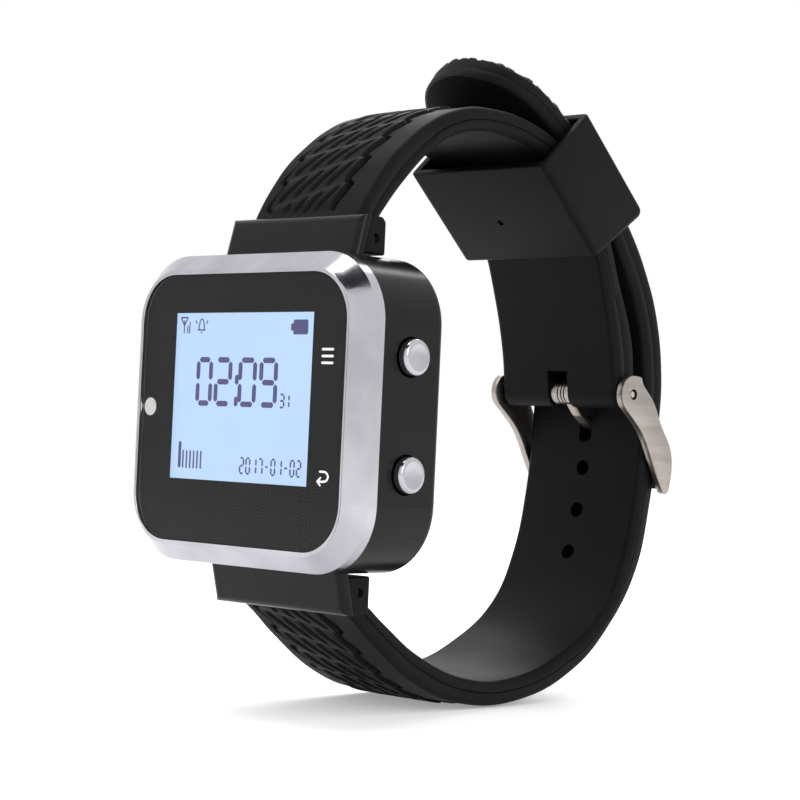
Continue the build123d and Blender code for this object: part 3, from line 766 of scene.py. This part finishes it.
# Moulded thermoplastic rubber: charcoal black and matt, a fine grain of 0.2 mm from the
# tool, slightly uneven bloom some millimetres across, and a few pale dust specks.
strap_rubber, tree = blank("moulded_black_rubber")
place = object_place(tree)
grain = put(tree, "TexNoise", [("Vector", place)], Scale=5200.0, Detail=3.0)
bloom = put(tree, "TexNoise", [("Vector", place)], Scale=140.0, Detail=4.0)
dust = put(tree, "TexVoronoi", [("Vector", place)], Scale=420.0)
speck = put(tree, "MapRange", [("Value", dust.outputs["Distance"])], From_Min=0.02, From_Max=0.045,
            To_Min=1.0, To_Max=0.0)
shade = mottled(tree, place, 140.0, "#060606", "#0C0C0C")
tint = put(tree, "Mix", data_type="RGBA")
tree.links.new(speck.outputs[0], tint.inputs[0])
tree.links.new(shade, tint.inputs[6])
tint.inputs[7].default_value = colour("#303030")
relief = put(tree, "Bump", [("Height", grain.outputs[0])], Strength=0.5, Distance=0.00003)
close(tree, put(tree, "BsdfPrincipled", [
    ("Base Color", tint.outputs[2]), ("Roughness", graded(tree, bloom.outputs[0], 0.5, 0.62)),
    ("Normal", relief.outputs[0])], IOR=1.5, Specular_IOR_Level=0.12))


def steps(*spans):
    """Distances along a strap: each span is a start, an end and a spacing in millimetres."""
    return np.concatenate([np.arange(first, last - 1e-6, gap) for first, last, gap in spans])


tread_end, tread_middle, tread_rows = 41, -1.3, 5
arc = range(68, 17, -10)
upper_outer = [(-4.8, 25.3), (-3.0, 28.5), (-1.0, 31.4), (1.2, 34.1), (4.2, 36.8), (8.2, 39.7), (13.0, 42.0),
               (19.0, 43.2),
               *(band_point(30.9, a) for a in arc), (53.6, 12.6), (54.35, 5.3)]
upper_inner = [(-1.8, 23.5), (0.3, 26.6), (5.5, 32.6), (9.4, 36.1), (13.6, 38.6), (18.5, 39.9), (23.7, 39.9),
               *(band_point(27.5, a) for a in arc), (49.2, 11.5), (50.15, 5.3)]
turn_end = np.radians(np.arange(6, 91, 6))
bar_y, bar_z = 52.25, 5.3
round_outer = np.stack([bar_y + 2.1 * np.cos(turn_end), bar_z - 2.1 * np.sin(turn_end)], -1)
round_inner = np.stack([bar_y - 2.1 * np.cos(turn_end), bar_z - 2.1 * np.sin(turn_end)], -1)
_, upper_length = side_curve(upper_outer)
upper = strap("buckle_strap", upper_outer, upper_inner, [(1, tread_end, tread_rows, 0.9, tread_middle)],
              lambda middle, run: taper(middle),
              np.append(steps((0, 42, 0.36), (42, upper_length, 1.0)), upper_length),
              (round_outer, round_inner))
combine(upper, strap_end("upper_end", 1), "UNION")
cut_lug(upper, 1)
combine(upper, solid_box("tongue_slot", (-1.9, bar_y - 4, bar_z - 3), (1.9, bar_y + 4, bar_z + 3.2)))
combine(upper, solid_rod("bar_bore", 0.8, (-14, bar_y, bar_z), (14, bar_y, bar_z), 32))
finished(upper, strap_rubber, "pager", "strap_rubber", "upper_strap")

tail_way = Vector((-math.sin(math.radians(55)), math.cos(math.radians(55))))
tail_arc = range(38, 56, 5)


def tail_end(radius, reach):
    """A point on the straight tail, a distance past the end of its arc."""
    y, z = band_point(radius, 55)
    return (y + tail_way.x * reach, z + tail_way.y * reach)


lower_inner = [(-1.8, -23.2), (0.5, -24.5), (4.6, -27.5), (11.2, -31.8), (20.8, -35.3), (29.9, -35.7),
               (40.7, -32.6), (49.7, -26.8), (54.0, -19.3), (56.4, -9.8), (57.3, 0.0), (57.4, 7.0),
               (55.1, 17.2), (48.9, 27.4), *(band_point(31.3, a) for a in (*tail_arc, 55)),
               *(tail_end(31.3, reach) for reach in (5, 11, 18))]
lower_outer = [(-4.6, -25.0), (-1.6, -27.1), (2.5, -30.4), (10.8, -35.8), (19.2, -38.6), (31.4, -38.8),
               (42.4, -35.3), (50.1, -29.7), (57.0, -20.6), (59.6, -11.0), (60.5, -5.0), (61.1, 1.0),
               (61.3, 8.0), (59.4, 17.2), (56.1, 23.9), (51.9, 29.7),
               *(band_point(34.6, a) for a in (*tail_arc, 55)),
               *(tail_end(34.6, reach) for reach in (5, 11, 18))]
TIP_RADIUS = 10.7
_, lower_length = side_curve(lower_outer)


def lower_width(middle, run):
    """The strap's half width, rounded off at the tail's tip."""
    beyond = np.clip(run - (lower_length - TIP_RADIUS), 0, TIP_RADIUS)
    rounded = np.minimum(taper(middle), np.sqrt(TIP_RADIUS ** 2 - beyond ** 2) + 1e-4)
    return np.where(beyond > 0, rounded, taper(middle))


lower = strap("holed_strap", lower_outer, lower_inner,
              [(1, tread_end, tread_rows, 0.9, tread_middle),
               (lower_length - 19, lower_length + 2, 9, -0.4, 0)], lower_width,
              np.append(steps((0, 42, 0.36), (42, lower_length - 20, 1.0),
                              (lower_length - 20, lower_length - 1, 0.3),
                              (lower_length - 1, lower_length, 0.1)), lower_length))
combine(lower, strap_end("lower_end", -1), "UNION")
cut_lug(lower, -1)
finished(lower, strap_rubber, "pager", "strap_rubber", "lower_strap")

# The bores are rougher than the moulded skin and their walls carry painted shade, so they stay nearly black.
painted_shade_bore_rubber, tree = blank("painted_shade_bore_rubber")
place = object_place(tree)
crumb = put(tree, "TexNoise", [("Vector", place)], Scale=4000.0, Detail=2.0)
rough_wall = put(tree, "Bump", [("Height", crumb.outputs[0])], Strength=0.6, Distance=0.00005)
close(tree, put(tree, "BsdfPrincipled", [
    ("Base Color", mottled(tree, place, 900.0, "#030303", "#060606")), ("Normal", rough_wall.outputs[0])],
    Roughness=0.95, Specular_IOR_Level=0.02))
for y, z, tilt in ((57.0, -5.9, 4), (55.5, -12.2, 14), (53.3, -18.3, 24)):
    reach = Vector((0, math.cos(math.radians(tilt)), -math.sin(math.radians(tilt)))) * 7
    centre = Vector((0, y, z))
    drill = solid_rod("strap_hole", 1.15, centre - reach, centre + reach, 40)
    drill.data.materials.append(painted_shade_bore_rubber)
    combine(lower, drill)
slot_cut = solid_box("stretched_hole", (-1.15, 55, -1.8), (1.15, 64, 2.0))
reshape(slot_cut, lambda edge: along(edge, 1))
bpy.ops.mesh.bevel(offset=0.9 * MM, segments=5, affect="EDGES")
settle(slot_cut)
slot_cut.data.materials.append(painted_shade_bore_rubber)
combine(lower, slot_cut)

# The pins at the case are stainless spring bars that show as dark points in the strap ends.
dress(["upper_lug_pin", "lower_lug_pin", "buckle_bar"], stainless)

# --- Keeper -----------------------------------------------------------------------------
# A loop of the same rubber, moulded a little askew, holds the tail down. All its edges are
# rounded and the gate has left a small pit on the side towards the wrist.
keeper = softened("keeper", "keeper_loop", 0.28, lambda at: True, 3, 35)
pit_way = Vector((0, math.cos(math.radians(48.2)), math.sin(math.radians(48.2))))
pit_centre = Vector((-1.25, BAND_Y, BAND_Z)) + pit_way * 23.4 + Vector((0, pit_way.z, -pit_way.y)) * 1.5
combine(keeper, solid_rod("gate_pit", 0.5, pit_centre - pit_way * 1.0, pit_centre + pit_way * 0.35, 24))
finished(keeper, strap_rubber, "keeper", "strap_rubber", "keeper")

# --- Buckle -----------------------------------------------------------------------------
# A cast stainless frame with two leaf-shaped cheeks, brushed flat and bright along its
# edges, and a flat pressed tongue whose barrel is ringed like a spring on the bar.

# Brushed stainless steel: warm grey with fine scratches 0.15 mm apart along the cheeks.
brushed, tree = blank("brushed_stainless_steel")
place = object_place(tree)
lay = put(tree, "Mapping", [("Vector", place)], Rotation=(math.radians(-60), 0, 0), Scale=(1, 0.06, 1))
scratch = put(tree, "TexNoise", [("Vector", lay.outputs[0])], Scale=7000.0, Detail=4.0)
lines = put(tree, "Bump", [("Height", scratch.outputs[0])], Strength=0.35, Distance=0.00001)
close(tree, put(tree, "BsdfPrincipled", [
    ("Base Color", mottled(tree, lay.outputs[0], 900.0, "#9B938D", "#A9A19B")),
    ("Roughness", graded(tree, scratch.outputs[0], 0.24, 0.42)), ("Normal", lines.outputs[0])],
    Metallic=1.0))
frame_piece = softened("buckle_frame", "buckle_cheeks", 0.18, lambda at: True, 2, 40)
finished(frame_piece, brushed, "buckle", "brushed_steel", "buckle_frame")
# The punched recess round each end of the bar is darkened with painted shade.
painted_shade_recess = plain_finish("shade_darkened_steel", "#0E0D0C", "#171513", 0.6, 0.6, 0.3, 0.005)
for side in (-1, 1):
    recess = solid_rod("pin_recess", 0.8, (side * 12.35, bar_y, bar_z), (side * 14, bar_y, bar_z), 40)
    recess.data.materials.append(painted_shade_recess)
    combine(frame_piece, recess)
tongue = softened("buckle_tongue", "buckle_prong", 0.14, lambda at: at.y > 53.6, 3, 35)
for x in (-0.55, 0.1, 0.65):
    groove = solid_rod("groove", 2.2, (x, bar_y, bar_z), (x + 0.22, bar_y, bar_z), 64)
    combine(groove, solid_rod("groove_floor", 1.0, (x - 1, bar_y, bar_z), (x + 1, bar_y, bar_z), 64))
    combine(groove, solid_box("prong_side", (x - 1, bar_y, bar_z - 4), (x + 1, bar_y + 4, bar_z + 4)))
    combine(tongue, groove)
finished(tongue, brushed, "tongue", "brushed_steel", "buckle_tongue")
